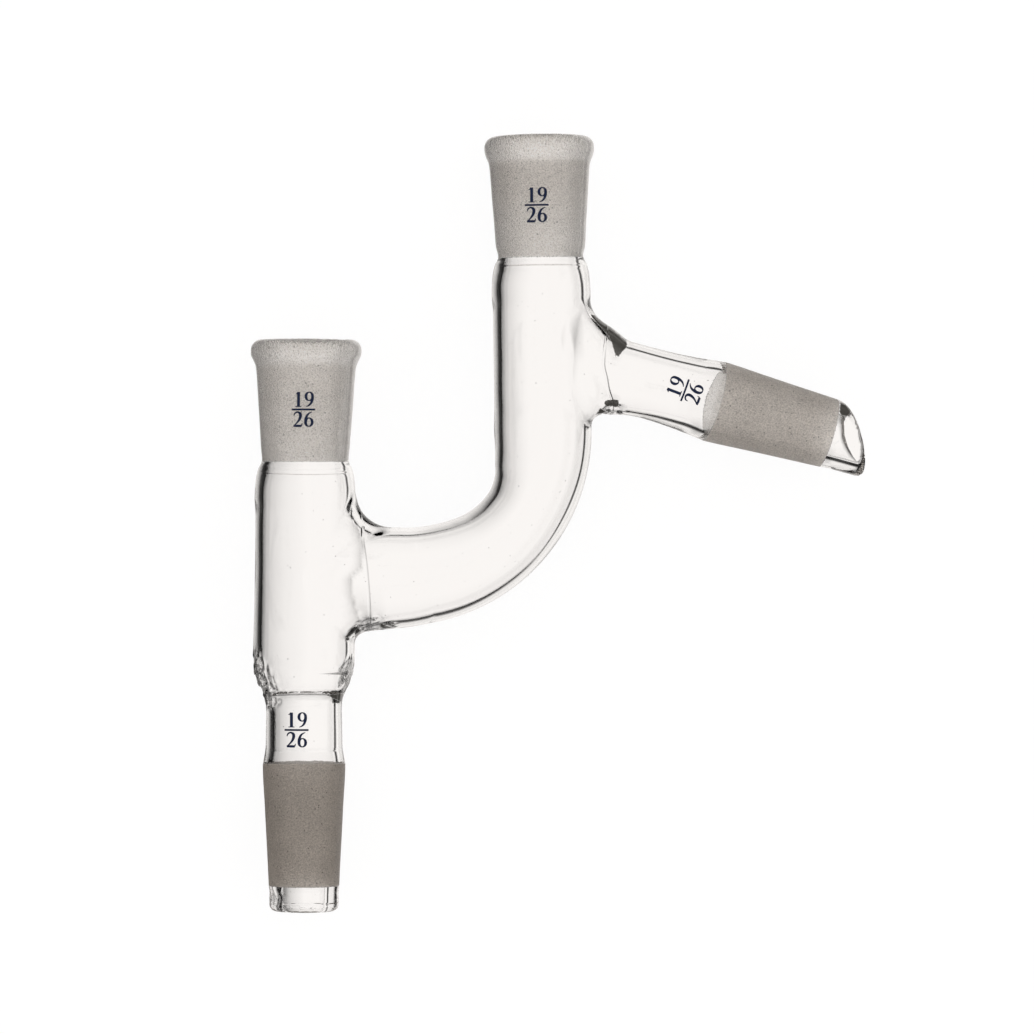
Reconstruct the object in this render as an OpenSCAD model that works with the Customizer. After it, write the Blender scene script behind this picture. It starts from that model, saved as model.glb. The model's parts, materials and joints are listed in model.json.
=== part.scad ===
// Distillation head with two sockets and two cones, lamp-worked from glass tube.
// It is one fused piece: a straight column over a flask cone, a side tube that
// leaves it and bends up into a second column, and a vapour arm that slopes down
// from the second column to a condenser cone. The head lies flat, at rest on the
// lips of its two sockets, with both columns and the arm in one level plane:
// +X runs from the straight column to the arm, +Y up the columns, +Z off the table.

/* [Ground joints] */
// Diameter of the standard taper at its wide end
joint_d = 18.8; // [14.5:0.1:24]
// Length of taper in which the diameter changes by 1
taper = 10; // [8:0.5:15]
// Length of the ground zone on each cone
cone_len = 28; // [18:1:40]
// Thickness of glass under each ground cone, at its wide end
cone_wall = 2.6; // [1.5:0.1:3.5]
// Length of the clear drip tip below each cone
tip_len = 5.6; // [3:0.2:12]
// Step from the ground zone down to the clear drip tip
tip_step = 0.35; // [0.1:0.05:1]
// Diameter of the opening in each drip tip
tip_bore = 10.2; // [6:0.2:11.6]
// Angle of the oblique cut across the arm's drip tip
tip_cut = 28; // [0:1:35]
// Radius of the fire-polished edge on the straight drip tip
tip_round = 1; // [0.3:0.1:1.2]

/* [Sockets] */
// Length of each socket from its foot to the top of its lip
socket_len = 27.8; // [20:0.2:40]
// Length of the ground bore in each socket
bore_len = 29; // [21:0.2:29]
// Outer diameter of each socket at its foot
socket_foot_d = 19.8; // [18.8:0.1:21]
// Outer diameter of each socket just below its lip
socket_top_d = 22.7; // [21.5:0.1:26]
// Outer diameter of the beaded lip
lip_d = 25.2; // [23.5:0.1:32]
// Height of the beaded lip
lip_len = 5.4; // [4:0.2:8]
// Radius of the lip's outer edge
lip_round = 2.4; // [0.6:0.2:2.6]
// Size of the bevel in the mouth of each socket
mouth_bevel = 1.1; // [0.3:0.1:1.5]
// Length of the shoulder under each socket
collar_len = 5.8; // [3:0.2:12]

/* [Straight column] */
// Outer diameter of the straight column
column_d = 22.7; // [21:0.1:30]
// Thickness of the straight column's wall
column_wall = 1.75; // [1:0.05:2.5]
// Outer diameter of the neck above the flask cone
neck_d = 17.4; // [15:0.1:18.4]
// Length of the neck
neck_len = 13; // [8:0.5:30]
// Thickness of the neck's wall
neck_wall = 2; // [1:0.05:2.6]
// Length of the shoulder between the neck and the column
shoulder_len = 8.5; // [6:0.5:25]
// Distance from the top of that shoulder up to the side tube's axis
branch_up = 20.9; // [16.5:0.1:40]
// Distance from the side tube's axis up to the socket's shoulder
column_up = 20.3; // [19:0.1:50]

/* [Side tube and bend] */
// Outer diameter of the side tube and its bend
side_d = 22.4; // [18:0.1:22.4]
// Thickness of the wall of the side tube, the bend and the second column
side_wall = 1.8; // [1:0.05:2.5]
// Distance between the two columns' axes, at the end of the bend
spacing = 54.75; // [50:0.25:90]
// Radius of the bend, at its centre line
bend_r = 33; // [24:0.5:36]
// Radius of the flattened inside of the bend
pinch_r = 15.2; // [13:0.1:22]
// Radius of the blown crotch above the side tube
crotch_top_r = 7; // [3:0.5:9]
// Radius of the blown crotch below the side tube
crotch_bottom_r = 5; // [3:0.5:5]

/* [Second column] */
// Drop in radius where the bend is fused to the second column
draw_in = 0.1; // [0.05:0.05:0.5]
// Lean of the second column towards the straight one, in degrees
lean = 0.75; // [0:0.25:3]
// Distance along the second column from the bend to the arm's axis
arm_up = 17.5; // [17:0.5:40]
// Distance from the arm's axis up to the socket's shoulder
second_up = 16; // [16:0.5:50]

/* [Vapour arm] */
// Angle between the arm and the column below it
arm_angle = 74.1; // [65:0.1:90]
// Distance from the second column's axis to the arm's cone
arm_len = 41.2; // [38:0.2:90]
// Outer diameter of the arm where it is sealed on
arm_d = 16.2; // [14:0.1:17.5]
// Distance from the column's axis to where the arm starts to widen
arm_straight = 23; // [23:0.5:34]
// Thickness of the arm's wall
arm_wall = 1.75; // [1:0.05:2.4]
// Radius of the blown crotch above the arm
arm_top_r = 13; // [3:0.5:14]
// Radius of the blown crotch below the arm
arm_bottom_r = 6.5; // [2:0.5:6.5]

/* [Hidden] */
$fn = 96;

column_r = column_d / 2;
side_r = side_d / 2;
second_r = side_r - draw_in;
joint_r = joint_d / 2;
lip_r = lip_d / 2;

// Stations up the straight column, from the foot of its drip tip
cone_y = tip_len;
neck_y = cone_y + cone_len;
shoulder_y = neck_y + neck_len;
column_y = shoulder_y + shoulder_len;
branch_y = column_y + branch_up;
collar_y = branch_y + column_up;
socket_y = collar_y + collar_len;
top_y = socket_y + socket_len;

// The bend's centre, and the second column's length above the bend
bend_x = spacing - bend_r;
bend_y = branch_y + bend_r;
second_len = arm_up + second_up + collar_len + socket_len;

// Centre of the head's outline, which is put over the origin
arm_turn = arm_angle - 90 + lean;
tip_reach = arm_len + cone_len + tip_len;
tip_r = cone_r(cone_len) - tip_step;
arm_x = bend_x + bend_r * cos(lean) - arm_up * sin(lean);
right_x = arm_x + (tip_reach + tip_r * tan(tip_cut)) * cos(arm_turn) - tip_r * sin(-arm_turn);
second_top_y = bend_y + bend_r * sin(lean) + second_len * cos(lean) + joint_r * sin(lean);
centre_x = (right_x - lip_r) / 2;
centre_y = max(top_y, second_top_y) / 2;

// How far a crotch sinks into the tubes it joins, so that the skins cross
sink = 0.08;
// How far the second column reaches down into the end of the bend
overlap = 1;
// How far a cut or a bore runs past the end of the glass
past = 1;
// Bevel between the wide end of a ground zone and the clear glass
bevel = 0.2;

// Radius of a standard cone at a distance from its wide end
function cone_r(s) = joint_r - s / taper / 2;

// Points of an arc as [radius, height] pairs, from angle a to angle b
function arc(r, h, size, a, b, n = 6) =
    [for (i = [0:n]) let (t = a + (b - a) * i / n) [r + size * cos(t), h + size * sin(t)]];

// Points of a smooth change of radius from [r1, h1] to [r2, h2], ends included
function ease(r1, h1, r2, h2, n = 8) =
    [for (i = [0:n]) [r1 + (r2 - r1) * (1 - cos(180 * i / n)) / 2, h1 + (h2 - h1) * i / n]];

// Turns what is drawn up the Z axis so that it runs in the level plane
module along(angle) rotate([0, 0, angle]) rotate([0, 90, 0]) children();

// Revolved solid from [radius, height] points, closed along its axis
module lathe(points) {
    low = points[0][1];
    high = points[len(points) - 1][1];
    rotate_extrude() polygon(concat([[0, low]], points, [[0, high]]));
}

// Ring of tube in the level plane, from angle a to angle b
module elbow(ring_r, tube_r, a, b)
    rotate([0, 0, a]) rotate_extrude(angle = b - a) translate([ring_r, 0]) rotate(-90) circle(tube_r);

// Outline of a socket's outside, with its shoulder below and its beaded lip on top
function socket_skin(r, y) = let (
    foot_y = y + collar_len,
    rim_y = foot_y + socket_len,
    lip_y = rim_y - lip_len,
    round_r = min(lip_round, lip_len / 2)
) concat(
    ease(r, y, socket_foot_d / 2, foot_y, 6),
    ease(socket_top_d / 2, lip_y, lip_r, rim_y - lip_len / 2, 5),
    arc(lip_r - round_r, rim_y - round_r, round_r, 0, 90)
);

// Outline of a socket's bore, from the column's bore up past the lip
function socket_bore(r, y) = let (
    rim_y = y + collar_len + socket_len,
    end_y = rim_y - bore_len,
    end_r = cone_r(bore_len)
) concat(
    ease(r, y - collar_len / 3, end_r, end_y, 6),
    [[cone_r(mouth_bevel), rim_y - mouth_bevel]],
    [[joint_r + mouth_bevel, rim_y], [joint_r + mouth_bevel, rim_y + past]]
);

// Flask cone, neck, shoulder, column and socket, outside
module column_skin()
    along(90) lathe(concat(
        arc(tip_r - tip_round, tip_round, tip_round, -90, 0),
        [[tip_r, cone_y - tip_step], [cone_r(cone_len), cone_y], [joint_r, neck_y]],
        ease(joint_r - bevel, neck_y + bevel, neck_d / 2, neck_y + neck_len / 3, 4),
        ease(neck_d / 2, shoulder_y, column_r, column_y),
        socket_skin(column_r, collar_y)
    ));

// The same column, inside
module column_bore()
    along(90) lathe(concat(
        [[tip_bore / 2, -past], [tip_bore / 2, cone_y]],
        [[joint_r - cone_wall, neck_y], [neck_d / 2 - neck_wall, neck_y + neck_len / 3]],
        ease(neck_d / 2 - neck_wall, shoulder_y, column_r - column_wall, column_y),
        socket_bore(column_r - column_wall, collar_y)
    ));

// Side tube and bend, inset from the skin by a wall
module side_tube(inset) {
    translate([0, branch_y, 0]) along(0) cylinder(h = bend_x, r = side_r - inset);
    difference() {
        translate([bend_x, bend_y, 0]) elbow(bend_r, side_r - inset, -90, lean);
        translate([spacing - side_r - pinch_r, branch_y + side_r + pinch_r, 0])
            cylinder(h = side_d, r = pinch_r + inset, center = true);
    }
}

// Two crotches where a side tube of radius r leaves a column of radius column,
// at an angle to the column below it; the column runs up the Y axis
module crotches(column, r, angle, top_r, bottom_r, inset) {
    n = [cos(angle), sin(angle)];
    skin = r - inset - sink;
    function height(size, side) = (side * (r + size) - (column + size) * n.x) / n.y;
    translate([column + top_r, height(top_r, 1), 0])
        elbow(top_r + inset + sink + skin, skin, 180, 180 + angle);
    translate([column + bottom_r, height(bottom_r, -1), 0])
        elbow(bottom_r + inset + sink + skin, skin, angle, 180);
}

// Places what is drawn up the Y axis on the end of the bend
module on_bend() translate([bend_x, bend_y, 0]) rotate([0, 0, lean]) translate([bend_r, 0, 0]) children();

// Second column and its socket, outside
module second_skin()
    along(90) lathe(concat([[second_r, -overlap]], socket_skin(second_r, arm_up + second_up)));

// Second column and its socket, inside
module second_bore()
    along(90) lathe(concat(
        [[second_r - side_wall, -overlap]],
        socket_bore(second_r - side_wall, arm_up + second_up)
    ));

// Vapour arm and condenser cone, outside, from the second column's axis
module arm_skin()
    along(arm_angle - 90) difference() {
        lathe(concat(
            [[arm_d / 2, 0]],
            ease(arm_d / 2, arm_straight, joint_r - bevel, arm_len - bevel, 6),
            [[joint_r, arm_len], [cone_r(cone_len), arm_len + cone_len]],
            [[tip_r, arm_len + cone_len + tip_step], [tip_r, tip_reach + joint_d]]
        ));
        translate([0, 0, tip_reach]) rotate([-tip_cut, 0, 0])
            translate([0, 0, joint_d]) cube(joint_d * 2, center = true);
    }

// Vapour arm and condenser cone, inside
module arm_bore()
    along(arm_angle - 90) lathe(concat(
        [[arm_d / 2 - arm_wall, 0], [arm_d / 2 - arm_wall, arm_straight]],
        [[joint_r - cone_wall, arm_len]],
        [[tip_bore / 2, arm_len + cone_len], [tip_bore / 2, tip_reach + joint_d]]
    ));

// The whole head's outside, as one solid
module skin() {
    column_skin();
    side_tube(0);
    translate([0, branch_y, 0])
        crotches(column_r, side_r, 90, crotch_top_r, crotch_bottom_r, 0);
    on_bend() {
        second_skin();
        translate([0, arm_up, 0]) {
            arm_skin();
            crotches(second_r, arm_d / 2, arm_angle, arm_top_r, arm_bottom_r, 0);
        }
    }
}

// The whole head's inside, open at both sockets and both drip tips
module bore() {
    column_bore();
    side_tube(side_wall);
    translate([0, branch_y, 0])
        crotches(column_r, side_r, 90, crotch_top_r, crotch_bottom_r, side_wall);
    on_bend() {
        second_bore();
        translate([0, arm_up, 0]) {
            arm_bore();
            crotches(second_r, arm_d / 2, arm_angle, arm_top_r, arm_bottom_r, side_wall);
        }
    }
}

module glass_body()
    color([0.86, 0.89, 0.9, 0.6])
    translate([-centre_x, -centre_y, lip_r])
    difference() {
        skin();
        bore();
    }

glass_body();
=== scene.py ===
"""Looks of the distillation head: hand-blown glass with ground joints, and fired-on size marks."""
import json
import math

import bpy
import numpy as np
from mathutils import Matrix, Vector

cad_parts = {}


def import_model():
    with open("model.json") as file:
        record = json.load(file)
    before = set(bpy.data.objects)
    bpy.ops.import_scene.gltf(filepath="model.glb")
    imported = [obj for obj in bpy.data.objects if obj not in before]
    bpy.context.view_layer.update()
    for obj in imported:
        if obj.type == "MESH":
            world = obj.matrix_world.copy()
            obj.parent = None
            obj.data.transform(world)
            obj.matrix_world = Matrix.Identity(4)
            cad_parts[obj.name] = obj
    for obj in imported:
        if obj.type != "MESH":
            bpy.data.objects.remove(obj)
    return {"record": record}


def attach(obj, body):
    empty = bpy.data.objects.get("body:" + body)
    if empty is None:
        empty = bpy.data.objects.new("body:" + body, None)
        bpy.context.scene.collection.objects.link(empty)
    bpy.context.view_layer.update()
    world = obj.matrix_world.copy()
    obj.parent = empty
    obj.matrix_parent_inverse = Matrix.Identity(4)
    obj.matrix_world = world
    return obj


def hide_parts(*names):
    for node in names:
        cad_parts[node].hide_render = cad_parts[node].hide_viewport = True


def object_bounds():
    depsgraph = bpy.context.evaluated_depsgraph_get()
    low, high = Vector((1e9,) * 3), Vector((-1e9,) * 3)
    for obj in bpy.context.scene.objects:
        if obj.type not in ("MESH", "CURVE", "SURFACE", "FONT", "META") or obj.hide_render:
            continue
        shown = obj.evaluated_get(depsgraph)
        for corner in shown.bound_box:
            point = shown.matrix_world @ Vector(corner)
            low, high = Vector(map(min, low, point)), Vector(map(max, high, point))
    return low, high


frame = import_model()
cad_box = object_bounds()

import openvdb
from mathutils import Vector

# ---------------------------------------------------------------- the head's lines, in millimetres
MM = 0.001
MOUNTS = {mount["name"]: mount for mount in frame["record"]["mounts"]}


def mount_line(name):
    """A mount's place in millimetres and its direction, both in the level plane of the axes."""
    place = np.array(MOUNTS[name]["pos_m"]) / MM
    return place, np.array(MOUNTS[name]["axis"])


CONE_LEN = 28.0            # ground zone of each cone
SOCKET_GROUND = 28.0       # ground zone inside each socket, from its rim
JOINT_R = 9.4              # radius of either zone at its wide end
TAPER = 0.05               # radius lost per millimetre of the zone
TIP_LEN = 5.6              # clear drip tip
COLUMN_R = 11.2            # first column, and its bore
COLUMN_BORE_R = 9.5
SIDE_R = 11.2              # side tube and bend, and their bore
SIDE_BORE_R = 9.4
SECOND_R = 11.1            # second column, and its bore
SECOND_BORE_R = 9.3
BEND_R = 33.0              # centre line of the bend
SECOND_LEN = 67.1          # from the end of the bend to the second socket's rim
ARM_LEN = 41.2             # from the second column's axis to the condenser cone
TIP_CUT = math.radians(28) # slant of the arm's drip tip
ARM_TIP_PAST = 0.2         # how far the cut through the arm's drip tip sits past its full length
ARM_TIP_FACE = -0.13       # how much that cut faces up
KNEE = 35.0                # above this the first column leans a little, towards the second
COLUMN_LEAN = 0.0085       # how far, for each millimetre above that
SECOND_FLARE = 0.2         # how much wider the second socket's cup is blown than the first's

foot, foot_way = mount_line("flask_cone")
feed, _ = mount_line("feed_socket")
mouth, mouth_way = mount_line("thermometer_socket")
spout, spout_way = mount_line("condenser_cone")
LEVEL = foot[2]            # height of all the axes over the table
COLUMN_LEN = feed[1] - foot[1]
ARM_START = spout - ARM_LEN * spout_way
BEND_END = mouth - SECOND_LEN * mouth_way
LEAN = math.atan2(-mouth_way[0], mouth_way[1])
BEND_CENTRE = BEND_END - BEND_R * np.array([math.cos(LEAN), math.sin(LEAN), 0])
SIDE_LEN = BEND_CENTRE[0] - foot[0]
BEND_LEN = BEND_R * (math.pi / 2 + LEAN)
BEND_DONE = SIDE_LEN + BEND_LEN
RIM_B = BEND_DONE + SECOND_LEN
TIP_END = CONE_LEN + TIP_LEN


def curve(stations):
    """Smooth curve through (place, value) stations, which never swings past them."""
    x, y = np.array(stations, float).T
    step = np.diff(x)
    rise = np.diff(y) / step
    slope = np.zeros_like(y)
    slope[0], slope[-1] = rise[0], rise[-1]
    same = rise[:-1] * rise[1:] > 0
    w1, w2 = 2 * step[1:] + step[:-1], step[1:] + 2 * step[:-1]
    slope[1:-1][same] = ((w1 + w2)[same]) / (w1[same] / rise[:-1][same] + w2[same] / rise[1:][same])

    def at(place):
        i = np.clip(np.searchsorted(x, place) - 1, 0, len(step) - 1)
        t = np.clip((place - x[i]) / step[i], 0, 1)
        return (
            y[i] * (1 + 2 * t) * (1 - t) ** 2
            + y[i + 1] * t * t * (3 - 2 * t)
            + step[i] * t * (1 - t) * (slope[i] * (1 - t) - slope[i + 1] * t)
        )

    return at


def socket(rim, skin_r, wider=0.0):
    """Stations of a socket's outside, measured down from its rim to a column of radius skin_r."""
    waist = [
        (40, 0.0), (36, 0.27), (34.3, 0.2), (31.8, 0.02),
        (30.3, -0.25), (29, -0.65), (28.2, -1.15), (27.4, -1.35),
    ]
    cup = [(25, 10.07), (20, 10.4), (14, 10.83), (10, 11.08), (7.2, 11.3), (6.1, 11.46), (4.8, 11.98)]
    lip = [(3.4, 12.57), (2.2, 12.6), (0, 12.6)]
    return (
        [(rim - d, skin_r + r) for d, r in waist]
        + [(rim - d, r + wider) for d, r in cup]
        + [(rim - d, r) for d, r in lip]
    )


def socket_bore(rim, bore_r):
    """Stations of a socket's inside: the column's bore, the ground taper and its open mouth."""
    end = JOINT_R - SOCKET_GROUND * TAPER
    return [
        (rim - 37, bore_r), (rim - 34, bore_r - 0.06), (rim - 32, bore_r - 0.3), (rim - 30, bore_r - 0.8),
        (rim - 28.6, end + 0.2), (rim - 27.6, JOINT_R - 27.6 * TAPER), (rim - 1.4, JOINT_R - 1.4 * TAPER),
        (rim - 0.9, JOINT_R), (rim, JOINT_R + 0.7), (rim + 2, JOINT_R + 1.2),
    ]


# Radius of each tube, outside and inside, against the distance along it
column_skin = curve(
    [(-TIP_END, 7.88), (-TIP_END + 3.6, 7.88), (-CONE_LEN - 1.5, 7.82), (-CONE_LEN - 0.1, 8.0)]
    + [(s, JOINT_R + s * TAPER) for s in (-CONE_LEN + 0.8, -10, -0.3)]
    + [(0.0, JOINT_R - 0.05), (0.8, 9.2), (4.3, 8.72), (8, 8.68), (12, 8.6), (13.7, 8.68)]
    + [(15, 8.9), (16.2, 9.25), (18.4, 10.4), (21.2, 11.15), (25.5, 11.58), (29.4, 11.48)]
    + [(34, 11.35), (50, COLUMN_R)]
    + socket(COLUMN_LEN, COLUMN_R)
)
column_bore = curve(
    [(-TIP_END - 3, 4.7), (-CONE_LEN, 4.8), (-3, 7.0), (-0.5, 7.3), (0.6, 7.2), (4.3, 6.75)]
    + [(13, 6.7), (15.7, 6.72), (16.5, 7.6), (18.8, 8.75), (21.2, 9.4), (25, 9.7), (30, 9.6)]
    + [(50, COLUMN_BORE_R)]
    + socket_bore(COLUMN_LEN, COLUMN_BORE_R)
)
side_skin = curve(
    [(0, SIDE_R), (BEND_DONE, SIDE_R), (BEND_DONE + 6, SECOND_R)]
    + socket(RIM_B, SECOND_R, SECOND_FLARE)
)
side_bore = curve(
    [(0, SIDE_BORE_R), (BEND_DONE, SIDE_BORE_R), (BEND_DONE + 6, SECOND_BORE_R)]
    + socket_bore(RIM_B, SECOND_BORE_R)
)
arm_skin = curve(
    [(0, 8.1), (23, 8.1), (28, 8.2), (33, 8.5), (38, 9.0), (ARM_LEN - 0.4, 9.32), (ARM_LEN, JOINT_R - 0.02)]
    + [(ARM_LEN + s, JOINT_R - s * TAPER) for s in (0.6, 10, CONE_LEN - 0.4)]
    + [(ARM_LEN + CONE_LEN, 8.0), (ARM_LEN + CONE_LEN + 1.6, 7.84), (ARM_LEN + TIP_END + 8, 7.84)]
)
arm_bore = curve(
    [(0, 6.35), (23, 6.35), (ARM_LEN - 4, 6.75), (ARM_LEN, 7.2), (ARM_LEN + 3, 7.0)]
    + [(ARM_LEN + CONE_LEN, 5.0), (ARM_LEN + TIP_END + 8, 5.0)]
)

# How far the inside of the bend is flattened, against the angle in degrees round the bend's centre
bend_dent = curve(
    [(-90, 0), (-80, 0.3), (-70, 0.75), (-60, 1.5), (-50, 2.4), (-40, 2.95), (-33, 3.05)]
    + [(-25, 2.5), (-15, 1.1), (0, 0.1), (8, 0)]
)

# Extra height of the arm's root above and below its axis, outside and in the bore, against the distance along
# the arm, and of the side tube's root on the inside of the bend
gusset = curve([(0, 5.3), (9, 3.35), (12.3, 2.45), (15.6, 1.3), (18.3, 0.15), (19.8, 0)])
gusset_bore = curve([(0, 9.0), (6.4, 5.7), (8.6, 4.5), (10.9, 3.2), (14.1, 1.3), (16.5, 0.35), (18.5, 0)])
low_gusset = curve([(0, 2.0), (16, 1.75), (17.6, 1.45), (20, 0.95), (23, 0.25), (26, 0)])
low_gusset_bore = curve([(0, 1.4), (15, 1.3), (19, 1.15), (24, 0.6), (30, 0.15), (36, 0)])
side_gusset = curve([(0, 3.6), (11.6, 2.3), (14.2, 1.3), (18.3, 0.8), (21, 0.6), (27, 0)])
side_gusset_bore = curve([(0, 1.6), (11.6, 1.2), (14.2, 0.9), (18.3, 0.9), (21, 0.7), (28, 0)])

# Fillet radii where tubes meet: above the branch, below it and at its flanks
SIDE_FILLET = (9, 1.6, 6)
SIDE_BORE_FILLET = (8.5, 4.5, 6.5)
ARM_FILLET = (7.5, 2.5, 6.5)
ARM_BORE_FILLET = (10, 6.5, 6.5)
GUSSET_LEAN, BORE_LEAN = 0.24, 0.44   # what the gusset's slope adds to the cosine at the arm's upper fillets
COSINE_MOST = 0.95         # above this a fillet would have no room
LEDGE_TILT = 0.08          # slant of the ledges in the first column's bore

# Roundings of the rims
LIP_ROUND = 2.4
FOOT_ROUND = 1.6
SPOUT_ROUND = 1.3
INNER_ROUND = 0.6


# ---------------------------------------------------------------- fields: distance to each surface
def fillet_union(a, b, r, c):
    """Union of two fields with a fillet of radius r; c is the cosine between their surfaces' normals."""
    u, v = r - a, r - b
    between = (u > c * v) & (v > c * u)
    reach = np.sqrt(np.maximum(u * u + v * v - 2 * c * u * v, 0) / np.maximum(1 - c * c, 1e-6))
    return np.where(between, r - reach, np.minimum(a, b))


def round_cut(a, b, r):
    """What two fields share, with its edge rounded to radius r."""
    return np.minimum(-r, np.maximum(a, b)) + np.hypot(np.maximum(r + a, 0), np.maximum(r + b, 0))


def straight(p, start, way):
    """Distance along a straight tube, and the two offsets from its axis: in the level plane and up."""
    x, y, z = p[..., 0] - start[0], p[..., 1] - start[1], p[..., 2] - LEVEL
    return x * way[0] + y * way[1], y * way[0] - x * way[1], z


def side_path(p):
    """The same for the side tube, its bend and the second column, with the angle round the bend."""
    x, y, z = p[..., 0] - BEND_CENTRE[0], p[..., 1] - BEND_CENTRE[1], p[..., 2] - LEVEL
    angle = np.arctan2(y, x)
    before = (x < 0) | (angle < -math.pi / 2)
    u, v = mouth_way[0], mouth_way[1]
    ahead = x * u + y * v
    after = ~before & (ahead > 0)
    round_bend = SIDE_LEN + BEND_R * (angle + math.pi / 2)
    s = np.where(before, SIDE_LEN + x, np.where(after, BEND_DONE + ahead, round_bend))
    q = np.where(before, -y, np.where(after, x * v - y * u, np.hypot(x, y))) - BEND_R
    turn = np.degrees(np.where(before, -math.pi / 2, np.where(after, LEAN, angle)))
    return s, q, z, turn


def dented(q, z, r, turn):
    """Distance from the bend's axis, with the inside of the bend pushed in."""
    return np.hypot(np.where(q < 0, q * r / (r - bend_dent(turn)), q), z) - r


def crotch_r(q, z, s, top, bottom, side):
    """Fillet radius round a branch: top above it, bottom below it, side at its flanks, none behind."""
    c = q / np.maximum(np.hypot(q, z), 1e-6)
    r = side + (top - side) * np.maximum(c, 0) ** 6 + (bottom - side) * np.maximum(-c, 0) ** 6
    t = np.clip((s + 6) / 10, 0, 1)
    return np.maximum(r * t * t * (3 - 2 * t), 0.05)


def normals_cosine(q1, q2, z, across):
    """
    Cosine between two tubes' normals at offsets q1 and q2 in the level plane. Each offset runs in a direction
    of its own, and across is the cosine between the two.
    """
    return (q1 * q2 * across + z * z) / np.maximum(np.hypot(q1, z) * np.hypot(q2, z), 1e-6)


def lean(s):
    """How far the first column's axis is off its straight line at a distance s along it."""
    return COLUMN_LEAN * np.maximum(s - KNEE, 0)


def places(p):
    """Where points p lie along and across the column, the side tube with the second column, and the arm."""
    s, q, z = straight(p, foot, -foot_way)
    return (s, q + lean(s), z), side_path(p), straight(p, ARM_START, spout_way)


def swell(q, rho, above, below):
    """Extra radius above and below a tube's root, at in-plane offset q and distance rho from its axis."""
    share = q / np.maximum(rho, 1e-6)
    return above * np.maximum(share, 0) ** 2 + below * np.maximum(-share, 0) ** 2


def fields(p):
    """Fields of the outside and of the bore at points p, in millimetres."""
    (s, q, z), (side_s, side_q, z, turn), (arm_s, arm_q, z) = places(p)
    rho = np.hypot(q, z)
    a_out = round_cut(round_cut(rho - column_skin(s), s - COLUMN_LEN, LIP_ROUND), -s - TIP_END, FOOT_ROUND)
    a_in = rho - column_bore(s + z * np.where(s > COLUMN_LEN / 2, LEDGE_TILT, -LEDGE_TILT))
    side_rho = np.hypot(side_q, z)
    b_out = dented(side_q, z, side_skin(side_s), turn) - swell(side_q, side_rho, side_gusset(side_s), 0)
    b_out = round_cut(np.maximum(b_out, -side_s), side_s - RIM_B, LIP_ROUND)
    b_in = dented(side_q, z, side_bore(side_s), turn) - swell(side_q, side_rho, side_gusset_bore(side_s), 0)
    b_in = np.maximum(b_in, -side_s)
    c = normals_cosine(q, side_q, z, 0)
    out = fillet_union(a_out, b_out, crotch_r(-side_q, z, side_s, *SIDE_FILLET), c)
    bore = fillet_union(a_in, b_in, crotch_r(-side_q, z, side_s, *SIDE_BORE_FILLET), c)
    rho = np.hypot(arm_q, z)
    past = arm_s - ARM_LEN - TIP_END - ARM_TIP_PAST
    cut = past * math.cos(TIP_CUT) + arm_q * math.sin(TIP_CUT) + ARM_TIP_FACE * z
    c_out = rho - arm_skin(arm_s) - swell(arm_q, rho, gusset(arm_s), low_gusset(arm_s))
    c_out = round_cut(np.maximum(c_out, -arm_s), cut, SPOUT_ROUND)
    c_in = rho - arm_bore(arm_s) - swell(arm_q, rho, gusset_bore(arm_s), low_gusset_bore(arm_s))
    c_in = np.maximum(c_in, -arm_s)
    upper = (np.maximum(arm_q, 0) / np.maximum(rho, 1e-6)) ** 2
    upper = upper * np.maximum(side_q, 0) / np.maximum(side_rho, 1e-6)
    c = normals_cosine(arm_q, side_q, z, -mouth_way @ spout_way)
    c_skin = np.minimum(c + GUSSET_LEAN * upper, COSINE_MOST)
    c_bore = np.minimum(c + BORE_LEAN * upper, COSINE_MOST)
    out = fillet_union(out, c_out, crotch_r(arm_q, z, arm_s, *ARM_FILLET), c_skin)
    bore = fillet_union(bore, c_in, crotch_r(arm_q, z, arm_s, *ARM_BORE_FILLET), c_bore)
    return out, bore


WAVES = 8                  # how many waves make up each noise
SKIN_RIPPLE, BORE_RIPPLE = (18, 2), (16, 3)   # length and seed of the slow ripples of hand-blown walls
SKIN_RIPPLE_HIGH, BORE_RIPPLE_HIGH = 0.012, 0.018
COARSE_LUMPS, FINE_LUMPS = (3.4, 5), (2.0, 9) # the same for the roughness of torch marks


def ripples(p, wave, seed):
    """Smooth noise of about unit height, its lumps about wave millimetres apart."""
    draw = np.random.default_rng(seed)
    total = 0
    for _ in range(WAVES):
        way = draw.normal(size=3)
        way *= 2 * math.pi / (wave * draw.uniform(0.7, 1.4) * np.linalg.norm(way))
        total = total + np.sin(p @ way + draw.uniform(0, 2 * math.pi))
    return total / 2


# Torch marks at the welds: place along the tube and across it, reach, height outside and in the bore
LUMPS = {
    "column": [
        (23.2, 11.0, 1.8, 0.1, 0.3), (21.0, 10.5, 2.2, 0.15, 0.4), (18.7, 9.3, 2.9, 0.22, 0.5),
        (16.3, 8.0, 2.2, 0.15, 0.4), (14.6, 7.4, 1.6, 0.1, 0.3), (18.4, 5.4, 1.5, 0.03, 0.15),
        (21.3, -9.4, 2.4, 0.2, 0.5), (18.8, -9.2, 2.0, 0.15, 0.45), (17.0, -8.9, 1.5, 0.1, 0.35),
        (31.2, -15.0, 2.3, 0.1, 0.4), (31.4, -17.6, 2.1, 0.1, 0.4), (-30.5, 6.6, 1.9, 0.05, 0.3),
    ],
    "arm": [(18.4, -7.4, 2.0, 0.1, 0.45), (17.0, -9.4, 1.9, 0.1, 0.4), (70.6, 6.4, 1.8, 0.0, 0.3)],
}
LUMP_FORM = np.array([1, 1, 0.5])     # each mark reaches twice as far up and down as it does across
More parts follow.
